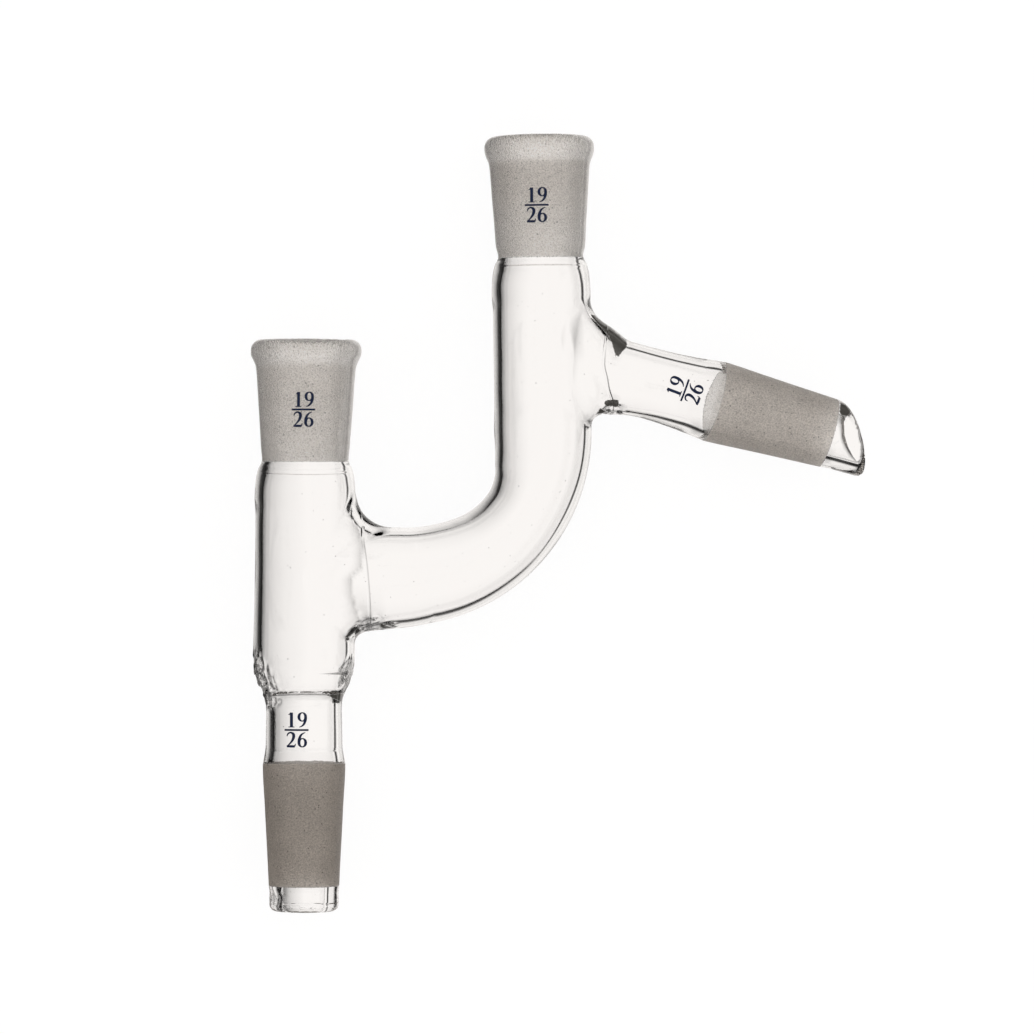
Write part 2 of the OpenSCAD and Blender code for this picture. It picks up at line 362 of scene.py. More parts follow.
LUMP_SPOTS = [
    (start + s * way + q * np.array([-way[1], way[0], 0]), reach, skin, bore)
    for start, way, lumps in ((foot, -foot_way, LUMPS["column"]), (ARM_START, spout_way, LUMPS["arm"]))
    for s, q, reach, skin, bore in lumps
]
WALL_NEAR = 1.6            # ripples and torch marks are added up to this far from either surface


def weld_field(p):
    """How far torch marks take the skin and the bore in or out at points p, and how strong they are there."""
    skin, bore, mark = 0.0, 0.0, 0.0
    for centre, reach, skin_high, bore_high in LUMP_SPOTS:
        near = np.exp(-(((p - centre) * LUMP_FORM) ** 2).sum(-1) / reach**2)
        skin, bore, mark = skin + skin_high * near, bore + bore_high * near, mark + near
    coarse, fine = ripples(p, *COARSE_LUMPS), ripples(p, *FINE_LUMPS)
    return skin * fine, bore * (0.6 * coarse + 0.4 * fine), np.minimum(mark, 1)


def glass(p):
    """Field of the glass itself: inside the skin, outside the bore, with fire-polished rims."""
    out, bore = fields(p)
    near = np.minimum(np.abs(out), np.abs(bore)) < WALL_NEAR
    skin_high, bore_high, _ = weld_field(p[near])
    out[near] += skin_high + SKIN_RIPPLE_HIGH * ripples(p[near], *SKIN_RIPPLE)
    bore[near] += bore_high + BORE_RIPPLE_HIGH * ripples(p[near], *BORE_RIPPLE)
    return round_cut(out, -bore, INNER_ROUND)


def slope(field, p, step=0.02):
    """Gradient of a field."""
    return np.stack([(field(p + d) - field(p - d)) / (2 * step) for d in np.eye(3) * step], -1)


# ---------------------------------------------------------------- mesh
PITCH = 0.75               # spacing of the samples that the mesh is made from
SETTLING = (0.5, 0.5, 0.5, 0.0)       # in each round, how far a point goes towards its neighbours' middle
NEWTON_STEPS = 2           # then this many steps back to the surface


def glass_mesh(pitch):
    """Vertices, quads, triangles and normals of the glass, from a field sampled at the given pitch."""
    low = np.array(cad_box[0]) / MM - 2 * pitch
    size = np.ceil((np.array(cad_box[1]) / MM + 2 * pitch - low) / pitch).astype(int)
    axes = [low[k] + pitch * np.arange(size[k]) for k in range(3)]
    samples = glass(np.stack(np.meshgrid(*axes, indexing="ij"), -1))
    grid = openvdb.FloatGrid()
    grid.copyFromArray(np.clip(samples, -3 * pitch, 3 * pitch).astype(np.float32))
    points, triangles, quads = grid.convertToPolygons(isovalue=0.0, adaptivity=0.0)
    points = low + np.array(points, float) * pitch
    sides = [np.roll(quads, k, 1)[:, :2] for k in range(4)]
    sides += [np.roll(triangles, k, 1)[:, :2] for k in range(3)]
    edges = np.concatenate(sides)
    for settle in SETTLING:
        near = np.zeros_like(points)
        count = np.zeros(len(points))
        for a, b in (edges.T, edges.T[::-1]):
            np.add.at(near, a, points[b])
            np.add.at(count, a, 1)
        points = points + settle * (near / count[:, None] - points)
        for _ in range(NEWTON_STEPS):
            g = slope(glass, points)
            points = points - g * (glass(points) / np.maximum((g * g).sum(-1), 0.05))[:, None]
    g = slope(glass, points)
    return points, quads, triangles, g / np.linalg.norm(g, axis=-1, keepdims=True)


# ---------------------------------------------------------------- marks on the surface
# Painted shade at the welds, dark patches where folds of thick glass look dark: the corners of each in the
# level plane, along and across its tube
FOLD_SHADES = {
    "column": [
        [(15.9, -5.0), (15.9, -9.3), (13.9, -8.9)],
        [(32.0, -17.7), (30.6, -17.5), (30.6, -20.8)],
        [(28.4, -10.6), (30.0, -13.2), (29.2, -13.4)],
    ],
    "arm": [
        [(12.8, 9.7), (16.5, 8.6), (18.5, 7.5), (18.3, 6.0), (16.8, 3.3)],
        [(8.6, 11.3), (9.4, 11.7), (12.1, 10.6), (16.5, 8.6), (14.6, 7.3), (9.0, 10.9)],
        [(69.7, 7.4), (71.0, 7.2), (72.6, 5.7), (71.9, 4.8), (69.9, 4.4)],
        [(16.7, -6.9), (17.6, -6.2), (19.7, -5.7), (20.5, -7.2), (17.4, -7.8)],
        [(16.0, -8.7), (17.6, -8.8), (18.6, -9.7), (17.9, -10.5), (16.0, -10.4)],
    ],
}
FOLD_SLANT = 0.13          # how far a fold runs towards -x for each millimetre up
FOLD_HIGH, FOLD_DEEP = 4.0, 5.0       # middle height of a fold over the level plane, and its reach from there

# Hollow where the side tube leaves the first column: how far across the column its shadowed edge lies,
# against the distance along it
hollow_edge = curve(
    [(28.7, 10.2), (32.4, 12.7), (36.8, 11.6), (41.7, 11.0), (44.8, 13.3), (49, 13.5), (54.2, 11.9)]
)
HOLLOW_FROM, HOLLOW_TO = 28, 55.5     # where along the column the shadow fades out, over HOLLOW_END
HOLLOW_END = 2
HOLLOW_DARK = 0.6          # how dark it is at the edge
HOLLOW_WIDE = 2.8          # how far it fades towards the axis
HOLLOW_SHARP = 0.4         # and away from it

# How dark the ground glass is, from 0 to 1: in each socket against the depth below its rim, with a painted
# highlight on the lip between painted shade at its top edge and just under it, and on the underside of the
# condenser cone against the distance along the arm
feed_tone_and_lip_shading = curve(
    [(-2, 0.05), (0.5, 0.25), (1.5, 0.0), (4.5, 0.0), (6.5, 0.3), (14, 0.25), (20, 0.17), (30, 0.16)]
)
top_tone_and_lip_shading = curve(
    [(-2, 0.1), (0.5, 0.3), (1.5, 0.05), (4.5, 0.05), (6.5, 0.43), (12, 0.38), (20, 0.17), (30, 0.06)]
)
arm_tone = curve([(42.5, 0.12), (46, 0.67)])
FLASK_TONE = 1.0
ARM_TONE = 0.67            # upper side of the condenser cone

# Lines round the first column, measured along it, and round the sockets, measured down from their rims
LEDGE_AT = 15.5
TIP_RING_AT = -32.1
TIP_RING_SPREAD = 0.2      # square of half the distance between the two lines round the drip tip
NECK_RING_AT = 3.2
FEED_RING_DOWN = 29.9
TOP_RING_DOWN = 29.6

# A dark needle at the shoulder: its place along the first column, the offsets across it of its point and its
# root, how much its half width grows for each millimetre, and the greatest that half width gets
NEEDLE_AT = 20.6
NEEDLE_POINT, NEEDLE_ROOT = -2.4, -9.6
NEEDLE_TAPER = 0.07
NEEDLE_HALF = 0.45

# The side tube's weld: how far it lies from the first column's axis at BRANCH_AT along it, and how much
# nearer for each millimetre up the column, within BRANCH_REACH either way
BRANCH_WELD = 13.45
BRANCH_AT, BRANCH_REACH = 41, 9
BRANCH_SLANT = 0.1
# The arm's weld: distance along the arm against the offset from its axis in the level plane
arm_weld = curve([(-9, 19), (-6.2, 17.6), (-4.4, 16.2), (-1.9, 14.9), (1.0, 13.4), (4.6, 12.8), (9, 12.5)])

NEAR_COLUMN, NEAR_ARM = 14, 12        # distances from those axes within which a point belongs to them
FAR = 3                    # signed distances are held to this, either way
ELSEWHERE = -9             # depth in a ground zone for points of other parts


def inside(s, q, corners):
    """Distance inside a convex outline, negative outside it."""
    corners = np.array(corners)
    centre = corners.mean(0)
    depth = np.full(s.shape, 99.0)
    for a, b in zip(corners, np.roll(corners, -1, 0)):
        across = np.array([a[1] - b[1], b[0] - a[0]]) / np.linalg.norm(b - a)
        across *= np.sign(across @ (centre - a))
        depth = np.minimum(depth, (s - a[0]) * across[0] + (q - a[1]) * across[1])
    return depth


def kept(distance, where=True):
    """A signed distance, held to FAR either way, and -FAR outside an area."""
    return np.clip(np.where(where, distance, -FAR), -FAR, FAR)


def surface_marks(p):
    """
    What the glass shader reads at each point p: millimetres inside a ground zone and how dark that is, with
    painted light and shade at the sockets' lips, the hollow's painted shadow, torch marks, the folds' painted
    shade, and the signed distances from the lines and seams.
    """
    out, bore = fields(p)
    outside = np.abs(out) < np.abs(bore)
    (column, q, z), (side, _, _, _), (arm, arm_q, _) = places(p)
    near_column = np.hypot(q, z) < NEAR_COLUMN
    near_arm = np.hypot(arm_q, z) < NEAR_ARM
    near_top = ~near_column & ~near_arm & (side > BEND_DONE)
    feed_depth, top_depth = COLUMN_LEN - column, RIM_B - side
    # The cones' zones end a little off the cones' own ends, at the wide one on a slight slant
    flask_zone = np.minimum(column + CONE_LEN - 0.3, -column - 0.1 + 0.045 * z)
    feed_zone = np.minimum(SOCKET_GROUND - feed_depth, feed_depth + 1)
    top_zone = np.minimum(SOCKET_GROUND - top_depth, top_depth + 1)
    arm_zone = np.minimum(arm - ARM_LEN + 0.15 - 0.065 * z, ARM_LEN + CONE_LEN - 0.3 - arm)
    depth = {
        "flask": np.where(outside & near_column, flask_zone, ELSEWHERE),
        "feed": np.where(~outside & near_column, feed_zone, ELSEWHERE),
        "top": np.where(~outside & near_top, top_zone, ELSEWHERE),
        "arm": np.where(outside & near_arm, arm_zone, ELSEWHERE),
    }
    ground = np.maximum.reduce(list(depth.values()))
    darkness = {
        "flask": FLASK_TONE,
        "feed": feed_tone_and_lip_shading(feed_depth),
        "top": top_tone_and_lip_shading(top_depth),
        "arm": np.where(z < 0, arm_tone(arm), ARM_TONE),
    }
    tone = sum(darkness[name] * (d == ground) for name, d in depth.items())
    (fold_s, fold_q, _), _, (fold_arm, fold_arm_q, _) = places(p + z[:, None] * np.array([FOLD_SLANT, 0, 0]))
    fold_shades = [inside(fold_s, fold_q, corners) for corners in FOLD_SHADES["column"]]
    fold_shades += [inside(fold_arm, fold_arm_q, corners) for corners in FOLD_SHADES["arm"]]
    fold_shade = np.minimum(np.maximum.reduce(fold_shades), FOLD_DEEP - np.abs(z - FOLD_HIGH))
    past = -fold_q - hollow_edge(fold_s)
    shade = HOLLOW_DARK * np.clip(1 + past / HOLLOW_WIDE, 0, 1) ** 2 * np.clip(1 - past / HOLLOW_SHARP, 0, 1)
    shade *= np.clip((fold_s - HOLLOW_FROM) / HOLLOW_END, 0, 1)
    shade *= np.clip((HOLLOW_TO - fold_s) / HOLLOW_END, 0, 1)
    shade *= np.clip(z / 2, 0, 1)
    needle = outside & near_column & (z > 0) & (q > NEEDLE_ROOT)
    needle_half = np.clip(-NEEDLE_TAPER * (q - NEEDLE_POINT), -1, NEEDLE_HALF)
    branch_shift = BRANCH_SLANT * np.clip(column - BRANCH_AT, -BRANCH_REACH, BRANCH_REACH)
    # The ledge in the bore and the ring under the first socket slant a little too
    return {
        "ground": ground,
        "tone": np.minimum(tone, 1),
        "inner": np.where(outside, 0, 1),
        "shade": np.where(outside, shade, 0),
        "weld": np.where(outside, weld_field(p)[2], 0),
        # where the folds' painted shade lies
        "fold_shade": kept(fold_shade, outside),
        "ledge": kept(column - LEDGE_AT - 0.1 * z),
        "tip_ring": kept((column - TIP_RING_AT) ** 2 - TIP_RING_SPREAD),
        "neck_ring": kept(column - NECK_RING_AT),
        "needle": kept(column - NEEDLE_AT, outside & near_column),
        "needle_half": np.where(needle, needle_half, -1),
        "branch_seam": kept(-q - BRANCH_WELD + branch_shift),
        "feed_ring": kept(column - COLUMN_LEN + FEED_RING_DOWN + 0.07 * z, near_column),
        "top_ring": kept(side - RIM_B + TOP_RING_DOWN, near_top),
        "arm_seam": kept(arm - arm_weld(arm_q), near_arm),
    }


def new_object(name, points, faces, material, normals=None):
    """A mesh object of the given points, in millimetres, which rides on the head's one body."""
    mesh = bpy.data.meshes.new(name)
    mesh.from_pydata((np.asarray(points) * MM).tolist(), [], faces)
    mesh.materials.append(material)
    mesh.shade_smooth()
    if normals is not None:
        mesh.normals_split_custom_set_from_vertices(normals.tolist())
    made = bpy.data.objects.new(name, mesh)
    bpy.context.scene.collection.objects.link(made)
    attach(made, "root")
    return made


# ---------------------------------------------------------------- materials
CLEAR = (1.0, 1.0, 1.0)
GROUND_PALE, GROUND_DARK = (1.0, 0.965, 0.925), (0.375, 0.337, 0.299)   # ground glass of tone 0 and of tone 1
# Dark colour of stains, and of the painted shade of the hollow and of the ledge
STAIN_AND_SHADE = (0.010, 0.0095, 0.009)
FOLD_SHADE = (0.065, 0.063, 0.058)         # painted shade where a fold of thick glass looks dark
NAVY, WORN_NAVY = (0.004, 0.009, 0.034), (0.009, 0.020, 0.062)

# How high each raised line stands, in millimetres, and how far from its middle it ends
RINGS = {"tip_ring": 0.08, "neck_ring": 0.05, "feed_ring": 0.06, "top_ring": 0.05}
SEAMS = {"branch_seam": 0.07, "arm_seam": 0.12}
LINE_REACH = 0.35


def node_tree(material):
    """Empties a material's or world's node tree and returns it with its output node."""
    material.use_nodes = True
    tree = material.node_tree
    tree.nodes.clear()
    kind = "ShaderNodeOutputWorld" if isinstance(material, bpy.types.World) else "ShaderNodeOutputMaterial"
    return tree, tree.nodes.new(kind)


def ramp(tree, value, low, high, to_low=0.0, to_high=1.0):
    """Node that takes value from the range low..high to to_low..to_high, and stays there outside it."""
    node = tree.nodes.new("ShaderNodeMapRange")
    for name, number in (("From Min", low), ("From Max", high), ("To Min", to_low), ("To Max", to_high)):
        node.inputs[name].default_value = number
    tree.links.new(value, node.inputs["Value"])
    return node.outputs["Result"]


def math_node(tree, operation, *values):
    """Math node with each of its inputs linked or set."""
    node = tree.nodes.new("ShaderNodeMath")
    node.operation = operation
    for k, value in enumerate(values):
        if isinstance(value, (int, float)):
            node.inputs[k].default_value = value
        else:
            tree.links.new(value, node.inputs[k])
    return node.outputs[0]


def mix_colour(tree, factor, a, b):
    """Mix of two colours, each a tuple or a socket."""
    node = tree.nodes.new("ShaderNodeMix")
    node.data_type = "RGBA"
    tree.links.new(factor, node.inputs["Factor"])
    for name, colour in (("A", a), ("B", b)):
        if isinstance(colour, tuple):
            node.inputs[name].default_value = (*colour, 1)
        else:
            tree.links.new(colour, node.inputs[name])
    return node.outputs["Result"]


def attribute(tree, name):
    """One of the mesh's attributes, by name."""
    node = tree.nodes.new("ShaderNodeAttribute")
    node.attribute_name = name
    return node.outputs["Fac"]


def noise(tree, place, size, detail=2.0, roughness=0.6):
    """Noise whose lumps are size millimetres across."""
    node = tree.nodes.new("ShaderNodeTexNoise")
    node.inputs["Scale"].default_value = 1 / (size * MM)
    node.inputs["Detail"].default_value = detail
    node.inputs["Roughness"].default_value = roughness
    tree.links.new(place, node.inputs["Vector"])
    return node.outputs["Fac"]


def specks(tree, place, spacing, size):
    """1 inside round specks of about the given size, strewn spacing millimetres apart; 0 elsewhere."""
    node = tree.nodes.new("ShaderNodeTexVoronoi")
    node.inputs["Scale"].default_value = 1 / (spacing * MM)
    tree.links.new(place, node.inputs["Vector"])
    return ramp(tree, node.outputs["Distance"], size / spacing, size / spacing / 2)


def ground_colour(tree, place, grain, patches, dark):
    """Colour of ground glass: its tone, with the grain of the grinding and a few dark pits."""
    tone = mix_colour(tree, dark, GROUND_PALE, GROUND_DARK)
    fine = ramp(tree, grain, 0.3, 0.7, 0.5, 1.46)
    shade = math_node(tree, "ADD", fine, ramp(tree, patches, 0.3, 0.7, -0.06, 0.06))
    pits = math_node(tree, "MULTIPLY", specks(tree, place, 1.5, 0.24), 0.6)
    shade = math_node(tree, "SUBTRACT", shade, pits)
    brighter = tree.nodes.new("ShaderNodeHueSaturation")
    tree.links.new(shade, brighter.inputs["Value"])
    tree.links.new(tone, brighter.inputs["Color"])
    return brighter.outputs["Color"]


def stains_and_painted_shade(tree, place, patches, mottle, weld, upper):
    """Dark marks on clear glass: stains (flecks at the welds, dust and the needle) and painted shade (the
    hollow's shadow, and a dark line along the ledge with a shaded band below it).
    """
    flecks = math_node(tree, "ADD", mottle, ramp(tree, weld, 0.0, 0.55, -0.3, 0.0))
    dust = math_node(tree, "MULTIPLY", specks(tree, place, 2.6, 0.15), ramp(tree, patches, 0.44, 0.56))
    stain_and_shade = math_node(tree, "MAXIMUM", ramp(tree, flecks, 0.54, 0.57), dust)
    # painted shadow in the hollow by the side tube
    stain_and_shade = math_node(tree, "MAXIMUM", stain_and_shade, attribute(tree, "shade"))
    thin = math_node(tree, "ABSOLUTE", attribute(tree, "needle"))
    thin = math_node(tree, "SUBTRACT", attribute(tree, "needle_half"), thin)
    stain_and_shade = math_node(tree, "MAXIMUM", stain_and_shade, ramp(tree, thin, -0.06, 0.1, 0.0, 0.8))
    # Painted shade at the ledge in the bore: a dark line, with fainter shade below it, on the upper side
    ledge = attribute(tree, "ledge")
    ledge_shade = math_node(tree, "MULTIPLY", ramp(tree, math_node(tree, "ABSOLUTE", ledge), 0.38, 0.15), 0.9)
    below = ramp(tree, ledge, -1.6, 0.0, 0.0, 0.5)
    below = math_node(tree, "MULTIPLY", below, ramp(tree, ledge, 0.1, 0.0))
    ledge_shade = math_node(tree, "MULTIPLY", math_node(tree, "MAXIMUM", ledge_shade, below), attribute(tree, "inner"))
    return math_node(tree, "MAXIMUM", stain_and_shade, math_node(tree, "MULTIPLY", ledge_shade, upper))


def raised_lines(tree, lines):
    """Height of all of the given lines together."""
    total = 0.0
    for name, high in lines.items():
        off = math_node(tree, "ABSOLUTE", attribute(tree, name))
        total = math_node(tree, "ADD", total, ramp(tree, off, LINE_REACH, 0.0, 0.0, high))
    return total


def relief(tree, grain, mottle, torch, zone, fold_shade, upper, crown):
    """Height in millimetres of the rings and seams, which show from above, torch marks and ground grain."""
    rings = raised_lines(tree, RINGS)
    seams = raised_lines(tree, SEAMS)
    height = math_node(tree, "MULTIPLY", rings, crown)
    height = math_node(tree, "ADD", height, math_node(tree, "MULTIPLY", seams, upper))
    torn = math_node(tree, "MULTIPLY", torch, mottle)
    torn = math_node(tree, "MULTIPLY", torn, math_node(tree, "SUBTRACT", 1.3, fold_shade))
    height = math_node(tree, "ADD", height, math_node(tree, "MULTIPLY", torn, 0.3))
    ground = math_node(tree, "MULTIPLY", grain, zone)
    return math_node(tree, "ADD", height, math_node(tree, "MULTIPLY", ground, 0.2))


def glass_material():
    """Borosilicate glass: clear, with its ground zones, torch marks and seams from the mesh's attributes."""
    material = bpy.data.materials.new("borosilicate")
    tree, output = node_tree(material)
    new, link = tree.nodes.new, tree.links.new
    place = new("ShaderNodeTexCoord").outputs["Object"]
    shader = new("ShaderNodeBsdfPrincipled")
    shader.inputs["IOR"].default_value = 1.474
    grain = noise(tree, place, 0.32, 2.0, 0.75)
    patches = noise(tree, place, 5.0, 1.0)
    split = new("ShaderNodeSeparateXYZ")
    link(place, split.inputs[0])
    upper = ramp(tree, split.outputs["Z"], LEVEL * MM, (LEVEL + 1) * MM)
    crown = ramp(tree, split.outputs["Z"], (LEVEL + 2) * MM, (LEVEL + 5) * MM)
    edge = math_node(tree, "ADD", attribute(tree, "ground"), ramp(tree, grain, 0.3, 0.7, -0.08, 0.08))
    zone = ramp(tree, edge, -0.1, 0.1)
    dark = attribute(tree, "tone")
    ground = ground_colour(tree, place, grain, patches, dark)
    weld = attribute(tree, "weld")
    torch = ramp(tree, weld, 0.1, 0.6)
    mottle = noise(tree, place, 0.7, 2.0, 0.65)
    stain_and_shade = stains_and_painted_shade(tree, place, patches, mottle, weld, upper)
    # Ragged edge of the folds' painted shade, which also lets little light through
    ragged = math_node(tree, "ADD", attribute(tree, "fold_shade"), ramp(tree, mottle, 0.3, 0.7, -0.15, 0.15))
    fold_shade = ramp(tree, ragged, -0.08, 0.08)
    # Clear glass takes the stains and the painted shade of the hollow and the ledge, then the painted shade
    # of the folds
    bare = mix_colour(tree, stain_and_shade, CLEAR, STAIN_AND_SHADE)
    bare = mix_colour(tree, fold_shade, bare, FOLD_SHADE)
    link(mix_colour(tree, zone, bare, ground), shader.inputs["Base Color"])
    link(ramp(tree, zone, 0.0, 1.0, 0.0, 0.45), shader.inputs["Roughness"])
    frost = math_node(tree, "MULTIPLY", zone, ramp(tree, dark, 0.0, 1.0, 0.25, 0.5))
    held = math_node(tree, "MAXIMUM", frost, math_node(tree, "MULTIPLY", fold_shade, 0.95))
    link(math_node(tree, "SUBTRACT", 1.0, held), shader.inputs["Transmission Weight"])
    bump = new("ShaderNodeBump")
    bump.inputs["Distance"].default_value = MM
    link(relief(tree, grain, mottle, torch, zone, fold_shade, upper, crown), bump.inputs["Height"])
    link(bump.outputs["Normal"], shader.inputs["Normal"])
    link(shader.outputs["BSDF"], output.inputs["Surface"])
    return material


def enamel_material():
    """Navy enamel of the size marks, fired on and a little uneven."""
    material = bpy.data.materials.new("navy_enamel")
    tree, output = node_tree(material)
    new, link = tree.nodes.new, tree.links.new
    place = new("ShaderNodeTexCoord").outputs["Object"]
    shader = new("ShaderNodeBsdfPrincipled")
    grain = noise(tree, place, 0.25)
    colour = mix_colour(tree, ramp(tree, grain, 0.35, 0.7), NAVY, WORN_NAVY)
    link(colour, shader.inputs["Base Color"])
    link(ramp(tree, grain, 0.3, 0.7, 0.55, 0.75), shader.inputs["Roughness"])
    shader.inputs["Specular IOR Level"].default_value = 0.2
    link(shader.outputs["BSDF"], output.inputs["Surface"])
    return material


# ---------------------------------------------------------------- size marks
# Strokes of each numeral: x, y and width along each stroke, for a numeral 1 high that stands on y = 0
ARC = [(math.cos(t), math.sin(t)) for t in np.linspace(0, 2 * math.pi, 25)]
NINE = [
    [(0.22 * x, 0.69 + 0.275 * y, 0.055 + 0.085 * abs(x) ** 1.5) for x, y in ARC],
    [(0.225, 0.72, 0.12), (0.215, 0.5, 0.13), (0.12, 0.24, 0.11), (-0.02, 0.09, 0.07), (-0.2, 0.01, 0.03)],
]
NUMERALS = {
    "1": [
        [(0.02, 0.04, 0.14), (0.02, 0.5, 0.14), (0.02, 0.98, 0.14)],
        [(-0.17, 0.83, 0.03), (-0.08, 0.88, 0.06), (0.02, 0.95, 0.09)],
        [(-0.17, 0.02, 0.045), (0.21, 0.02, 0.045)],
    ],
    "2": [
        [
            (-0.27, 0.72, 0.03), (-0.2, 0.89, 0.07), (-0.04, 0.97, 0.08), (0.13, 0.88, 0.13),
            (0.16, 0.7, 0.14), (0.08, 0.46, 0.11), (-0.08, 0.24, 0.07), (-0.27, 0.05, 0.05),
        ],
        [(-0.28, 0.055, 0.1), (0.0, 0.055, 0.12), (0.22, 0.055, 0.11)],
        [(0.2, 0.05, 0.08), (0.25, 0.13, 0.05), (0.28, 0.23, 0.03)],
    ],
    "9": NINE,
    "6": [[(-x, 0.99 - y, w) for x, y, w in stroke] for stroke in NINE],
}
NUMERAL_HIGH = 3.4         # millimetres
NUMERAL_BOLD = 1.35        # how much wider the strokes are than written above
PROUD, SUNK = 0.05, -0.1   # how far the enamel stands over the glass, and how deep it goes in
BAR = [(-0.775, 0.0, 0.125), (0.775, 0.0, 0.125)]
MARK_STROKES = [BAR] + [
    [(x + right, y + up, w * NUMERAL_BOLD) for x, y, w in stroke]
    for text, up in (("19", 0.18), ("26", -1.14))
    for digit, right in zip(text, (-0.36, 0.36))
    for stroke in NUMERALS[digit]
]


def brush(stroke):
    """Edges of a brush stroke through its stations: points to its left and to its right."""
    stroke = np.array(stroke)
    reach = np.arange(len(stroke))
    along = np.linspace(0, len(stroke) - 1, 4 * len(stroke) + 6)
    if len(stroke) > 2:
        ends = np.array([2 * stroke[0] - stroke[1], *stroke, 2 * stroke[-1] - stroke[-2]])
        i = np.minimum(along.astype(int), len(stroke) - 2)
        t = (along - i)[:, None]
        a, b, c, d = (ends[i + k] for k in range(4))
        bend, twist = 2 * a - 5 * b + 4 * c - d, 3 * b - a - 3 * c + d
        line = 0.5 * (2 * b + (c - a) * t + bend * t**2 + twist * t**3)
    else:
        line = np.stack([np.interp(along, reach, column) for column in stroke.T], -1)
    way = np.gradient(line[:, :2], axis=0)
    way /= np.linalg.norm(way, axis=1, keepdims=True)
    side = np.stack([-way[:, 1], way[:, 0]], -1) * line[:, 2:] / 2
    return line[:, :2] + side, line[:, :2] - side


def size_mark(name, start, way, skin, s, q, right, material):
    """A size mark on a tube's skin, its middle s along and q across, its text running to right, in (s, q)."""
    leans = lean if start is foot else np.zeros_like
    points, faces = [], []
    across = np.array([-way[1], way[0], 0])
    for stroke in MARK_STROKES:
        left, other = brush(stroke)
        first, count = len(points), len(left)
        for edge in (left, other):
            for lift in (PROUD, SUNK):
                for x, y in edge * NUMERAL_HIGH:
                    along = s + x * right[0] - y * right[1]
                    over = q + x * right[1] + y * right[0]
                    r = skin(np.array([along]))[0] + lift
                    sideways = over - leans(np.array([along]))[0]
                    up = np.array([0, 0, math.sqrt(r * r - over * over)])
                    points.append(start + along * way + sideways * across + up)
        for k in range(count - 1):
            ring = [first + k + e * count for e in (0, 2, 3, 1)]
            after = [first + k + 1 + e * count for e in (0, 2, 3, 1)]
            faces += [(ring[e], ring[(e + 1) % 4], after[(e + 1) % 4], after[e]) for e in range(4)]
        faces.append([first + e * count for e in (1, 3, 2, 0)])
        faces.append([first + count - 1 + e * count for e in (0, 2, 3, 1)])
    made = new_object(name, points, faces, material)


# ---------------------------------------------------------------- floor, light and camera
FLOOR_HALF = 1.5           # metres
FLOOR_GREY = 0.8
FLOOR_GLOW, GLOW_SHARE = 1.05, 0.88   # the camera sees the floor mostly as this glow, with a little shade

# Edges of what glass sees below the table, as tangents of the angle from straight down, east and north: each
# pair runs from none to full
PANEL_WEST, PANEL_EAST = (-0.5, 0.1), (1.25, 1.0)
PANEL_SOUTH, PANEL_NORTH = (-0.9, -0.6), (1.15, 0.95)
PANEL_SURROUND = 0.01
STRIP_WEST, STRIP_EAST = (1.8, 1.9), (2.4, 2.3)
ROOM_FROM = (1.6, 1.9)
SKY_FROM = (0.1, 0.6)      # height of a direction from which the room is bright above the table
ROOM_COLOUR = (0.955, 0.925, 0.90)

CAMERA_AIM = (-9.19, 1.24, LEVEL)     # millimetres
CAMERA_YAW = math.radians(7.5)
CAMERA_AWAY = 1.2566       # metres
CAMERA_LENS = 191.5


def floor():
    """Pale floor: white to the camera, grey to other light, clear to what glass mirrors or lets through."""
    mesh = bpy.data.meshes.new("floor")
    s = FLOOR_HALF
    mesh.from_pydata([(-s, -s, 0), (s, -s, 0), (s, s, 0), (-s, s, 0)], [], [(0, 1, 2, 3)])
    made = bpy.data.objects.new("floor", mesh)
    bpy.context.scene.collection.objects.link(made)
    material = bpy.data.materials.new("pale_floor")
    tree, output = node_tree(material)
    new, link = tree.nodes.new, tree.links.new
    diffuse = new("ShaderNodeBsdfDiffuse")
    diffuse.inputs["Color"].default_value = (FLOOR_GREY, FLOOR_GREY, FLOOR_GREY, 1)
    glow = new("ShaderNodeEmission")
    glow.inputs["Strength"].default_value = FLOOR_GLOW
    both = new("ShaderNodeMixShader")
    both.inputs["Fac"].default_value = GLOW_SHARE
    link(diffuse.outputs[0], both.inputs[1])
    link(glow.outputs[0], both.inputs[2])
    ray = new("ShaderNodeLightPath")
    lit = new("ShaderNodeMixShader")
    link(ray.outputs["Is Camera Ray"], lit.inputs["Fac"])
    link(diffuse.outputs[0], lit.inputs[1])
    link(both.outputs[0], lit.inputs[2])
    clear = new("ShaderNodeBsdfTransparent")
    through = new("ShaderNodeMixShader")
    by_glass = math_node(tree, "MAXIMUM", ray.outputs["Is Transmission Ray"], ray.outputs["Is Glossy Ray"])
    link(by_glass, through.inputs["Fac"])
    link(lit.outputs[0], through.inputs[1])
    link(clear.outputs[0], through.inputs[2])
    link(through.outputs[0], output.inputs["Surface"])
    mesh.materials.append(material)


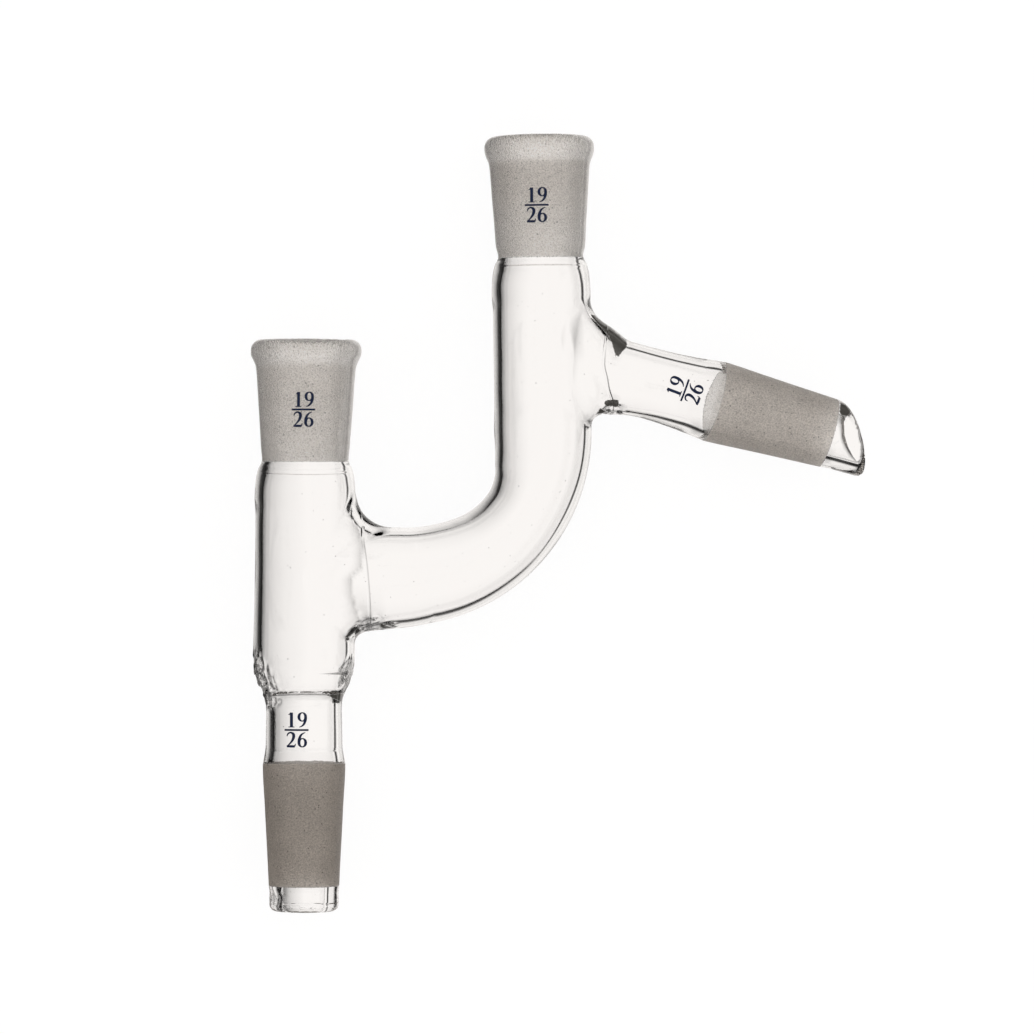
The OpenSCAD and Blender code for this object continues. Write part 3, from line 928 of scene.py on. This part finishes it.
def world():
    """
    Pale room. Below the table, glass lets through a bright panel in a dark surround and the room further off,
    and mirrors the panel and a bright strip to its east.
    """
    made = bpy.data.worlds.new("studio")
    bpy.context.scene.world = made
    tree, output = node_tree(made)
    new, link = tree.nodes.new, tree.links.new
    place = new("ShaderNodeTexCoord")
    split = new("ShaderNodeSeparateXYZ")
    link(place.outputs["Generated"], split.inputs[0])
    down = math_node(tree, "MAXIMUM", math_node(tree, "MULTIPLY", split.outputs["Z"], -1.0), 0.02)
    east = math_node(tree, "DIVIDE", split.outputs["X"], down)
    north = math_node(tree, "DIVIDE", split.outputs["Y"], down)
    panel = math_node(tree, "MULTIPLY", ramp(tree, east, *PANEL_WEST), ramp(tree, east, *PANEL_EAST))
    panel = math_node(tree, "MULTIPLY", panel, ramp(tree, north, *PANEL_SOUTH))
    panel = math_node(tree, "MULTIPLY", panel, ramp(tree, north, *PANEL_NORTH))
    far = math_node(tree, "ADD", math_node(tree, "POWER", east, 2.0), math_node(tree, "POWER", north, 2.0))
    far = math_node(tree, "SQRT", far)
    ray = new("ShaderNodeLightPath")
    mirrored = math_node(tree, "SUBTRACT", ray.outputs["Is Glossy Ray"], ray.outputs["Is Transmission Ray"])
    mirrored = math_node(tree, "MAXIMUM", mirrored, 0.0)
    let_through = math_node(tree, "SUBTRACT", 1.0, mirrored)
    room = math_node(tree, "MULTIPLY", ramp(tree, far, *ROOM_FROM), let_through)
    strip = math_node(tree, "MULTIPLY", ramp(tree, east, *STRIP_WEST), ramp(tree, east, *STRIP_EAST))
    room = math_node(tree, "MAXIMUM", room, math_node(tree, "MULTIPLY", strip, mirrored))
    sky = ramp(tree, split.outputs["Z"], *SKY_FROM)
    room = math_node(tree, "MAXIMUM", room, sky)
    shade = math_node(tree, "MAXIMUM", ramp(tree, panel, 0.0, 1.0, PANEL_SURROUND, 1.0), room)
    tint = new("ShaderNodeMix")
    tint.data_type = "RGBA"
    tint.inputs["A"].default_value = (0.0, 0.0, 0.0, 1)
    tint.inputs["B"].default_value = (*ROOM_COLOUR, 1)
    link(shade, tint.inputs["Factor"])
    back = new("ShaderNodeBackground")
    link(tint.outputs["Result"], back.inputs["Color"])
    plain = new("ShaderNodeBackground")
    plain.inputs["Color"].default_value = (1, 1, 1, 1)
    mix = new("ShaderNodeMixShader")
    link(ray.outputs["Is Camera Ray"], mix.inputs["Fac"])
    link(back.outputs[0], mix.inputs[1])
    link(plain.outputs[0], mix.inputs[2])
    link(mix.outputs[0], output.inputs["Surface"])


def camera():
    """Long lens over the head, turned a little about the head's length."""
    back = Vector((-math.sin(CAMERA_YAW), 0, math.cos(CAMERA_YAW)))
    data = bpy.data.cameras.new("camera")
    data.sensor_width = 36
    data.lens = CAMERA_LENS
    made = bpy.data.objects.new("camera", data)
    bpy.context.scene.collection.objects.link(made)
    made.location = Vector(np.array(CAMERA_AIM) * MM) + back * CAMERA_AWAY
    made.rotation_euler = (0, -CAMERA_YAW, 0)
    data.clip_start, data.clip_end = 0.01, 20
    bpy.context.scene.camera = made


# ---------------------------------------------------------------- the scene
bpy.context.scene.view_settings.view_transform = "Standard"
floor()
world()
camera()
points, quads, triangles, normals = glass_mesh(PITCH)
faces = [tuple(face) for kind in (quads, triangles) for face in np.asarray(kind).tolist()]
blown = new_object("blown_glass", points, faces, glass_material(), normals)
for name, values in surface_marks(points).items():
    blown.data.attributes.new(name, "FLOAT", "POINT").data.foreach_set("value", values.astype(np.float32))
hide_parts("glass_body")
enamel = enamel_material()
UPRIGHT, READS_UP = (0, -1), (0.096, 0.995)   # which way the text runs: across the column, and across the arm
size_mark("feed_size_mark", foot, -foot_way, column_skin, COLUMN_LEN - 16.1, 1.45, UPRIGHT, enamel)
size_mark("flask_size_mark", foot, -foot_way, column_skin, 7.87, 2.4, UPRIGHT, enamel)
size_mark("top_size_mark", mouth, mouth_way, lambda s: side_skin(s + RIM_B), -16.2, 2.1, UPRIGHT, enamel)
size_mark("arm_size_mark", ARM_START, spout_way, arm_skin, 32.95, 0.15, READS_UP, enamel)
